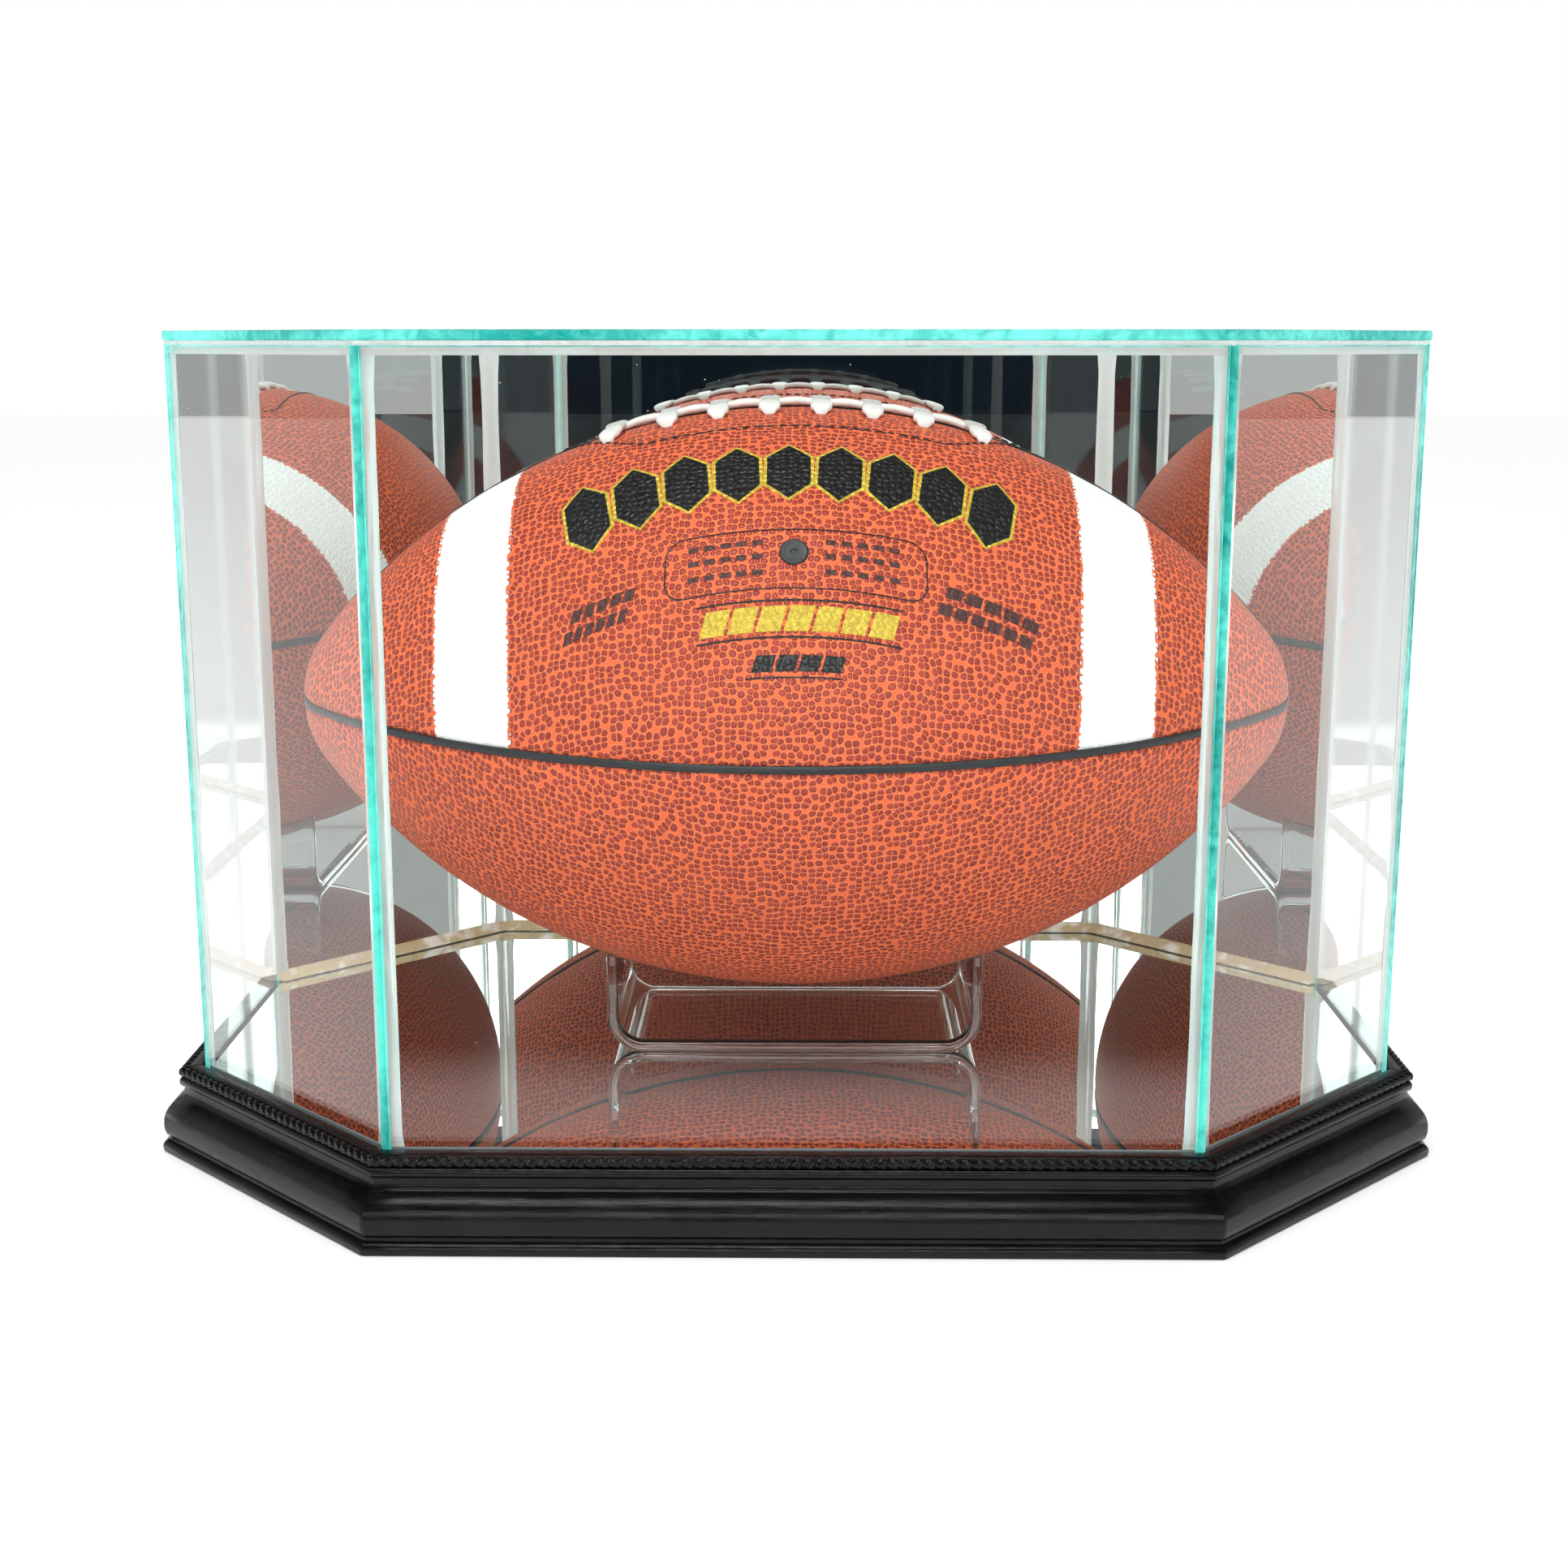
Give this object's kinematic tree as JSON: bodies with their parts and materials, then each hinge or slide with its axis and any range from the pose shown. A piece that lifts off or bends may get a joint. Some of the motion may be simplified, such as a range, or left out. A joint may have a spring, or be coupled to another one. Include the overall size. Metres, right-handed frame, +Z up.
{
  "type": "football display case",
  "caption": "Octagonal glass case with mirrored back and floor, lift-off cover, black moulded wood base and a clear stand that cradles an American football.",
  "frame": {"origin": "centre of the base's underside, on the surface it stands on", "axes": "+Z up, +X to the right along the case's length, -Y towards the glass front, +Y towards the mirror back"},
  "size_m": [0.3542, 0.2322, 0.2253],
  "materials": {
    "black_lacquer": "satin black lacquer on moulded wood",
    "hardboard": "plain hardboard",
    "nail_steel": "bare steel",
    "screw_steel": "zinc plated steel",
    "mirror_glass": "silvered glass, cut edges",
    "clear_glass": "clear glass with green-blue cut edges",
    "silicone": "clear silicone",
    "acrylic": "clear polished acrylic",
    "leather": "pebbled",
    "lace_rubber": "knurled soft plastic",
    "welt_rubber": "matt black",
    "bladder_rubber": "plain rubber"
  },
  "bodies": {
    "base": {"rail_front": "black_lacquer", "rail_front_right": "black_lacquer", "rail_right": "black_lacquer", "rail_back_right": "black_lacquer", "rail_back": "black_lacquer", "rail_back_left": "black_lacquer", "rail_left": "black_lacquer", "rail_front_left": "black_lacquer", "corner_nails": "nail_steel", "deck_board": "hardboard", "deck_screws": "screw_steel", "mirror_floor": "mirror_glass"},
    "cover": {"glass_front": "clear_glass", "glass_front_right": "clear_glass", "glass_right": "clear_glass", "mirror_back_right": "mirror_glass", "mirror_back": "mirror_glass", "mirror_back_left": "mirror_glass", "glass_left": "clear_glass", "glass_front_left": "clear_glass", "glass_top": "clear_glass", "seam_front": "silicone", "seam_front_right": "silicone", "seam_right": "silicone", "seam_back_right": "silicone", "seam_back": "silicone", "seam_back_left": "silicone", "seam_left": "silicone", "seam_front_left": "silicone", "seam_top": "silicone", "seam_foot": "silicone"},
    "stand": {"stand": "acrylic"},
    "football": {"ball_panel_front_top": "leather", "ball_panel_back_top": "leather", "ball_panel_front_bottom": "leather", "ball_panel_back_bottom": "leather", "ball_welt": "welt_rubber", "ball_bladder": "bladder_rubber", "ball_lace_long": "lace_rubber", "ball_laces_cross": "lace_rubber", "ball_valve": "welt_rubber"}
  },
  "joints": [
    {"name": "cover_lift", "type": "slide", "parent": "base", "child": "cover", "axis": [0, 0, 1], "range_m": [0, 0.24]},
    {"name": "stand_lift", "type": "slide", "parent": "base", "child": "stand", "axis": [0, 0, 1], "range_m": [0, 0.006]},
    {"name": "ball_lift", "type": "slide", "parent": "stand", "child": "football", "axis": [0, 0, 1], "range_m": [0, 0.006]}
  ]
}
